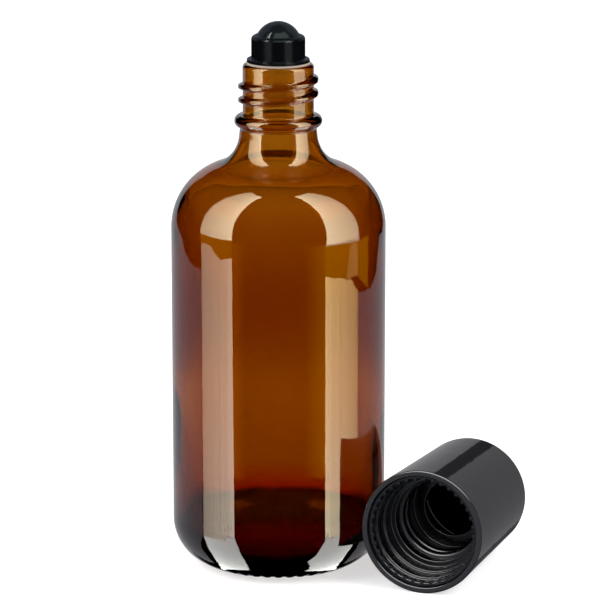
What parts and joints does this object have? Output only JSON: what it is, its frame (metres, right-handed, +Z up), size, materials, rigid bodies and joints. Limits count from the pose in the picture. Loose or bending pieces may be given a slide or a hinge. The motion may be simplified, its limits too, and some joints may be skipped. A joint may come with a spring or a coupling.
{
  "type": "roll on bottle",
  "caption": "Round amber glass bottle with a screw neck, a black press-in roller fitment with its ball, and a tall black screw cap lying beside it.",
  "frame": {"origin": "centre of the bottle's base, on the surface it stands on", "axes": "+Z up along the bottle's axis; the cap lies on its side at +X of the bottle, its mouth towards -Y"},
  "size_m": [0.075, 0.0478, 0.1212],
  "materials": {
    "amber_glass": "moulded, glossy, amber",
    "black_plastic": "moulded, glossy, black",
    "natural_plastic": "moulded, milky, undyed"
  },
  "bodies": {
    "root": {"glass_bottle": "amber_glass", "sealing_sleeve": "natural_plastic", "roller_housing": "black_plastic"},
    "ball": {"roller_ball": "black_plastic"},
    "cap": {"cap_shell": "black_plastic", "cap_insert": "black_plastic"}
  },
  "joints": [
    {"name": "ball_roll", "type": "hinge", "parent": "root", "child": "ball", "pos_m": [0, 0, 0.1161], "axis": [1, 0, 0], "continuous": true},
    {"name": "cap_slide", "type": "slide", "parent": "root", "child": "cap", "axis": [0, -1, 0], "range_m": [0, 0.06]}
  ]
}
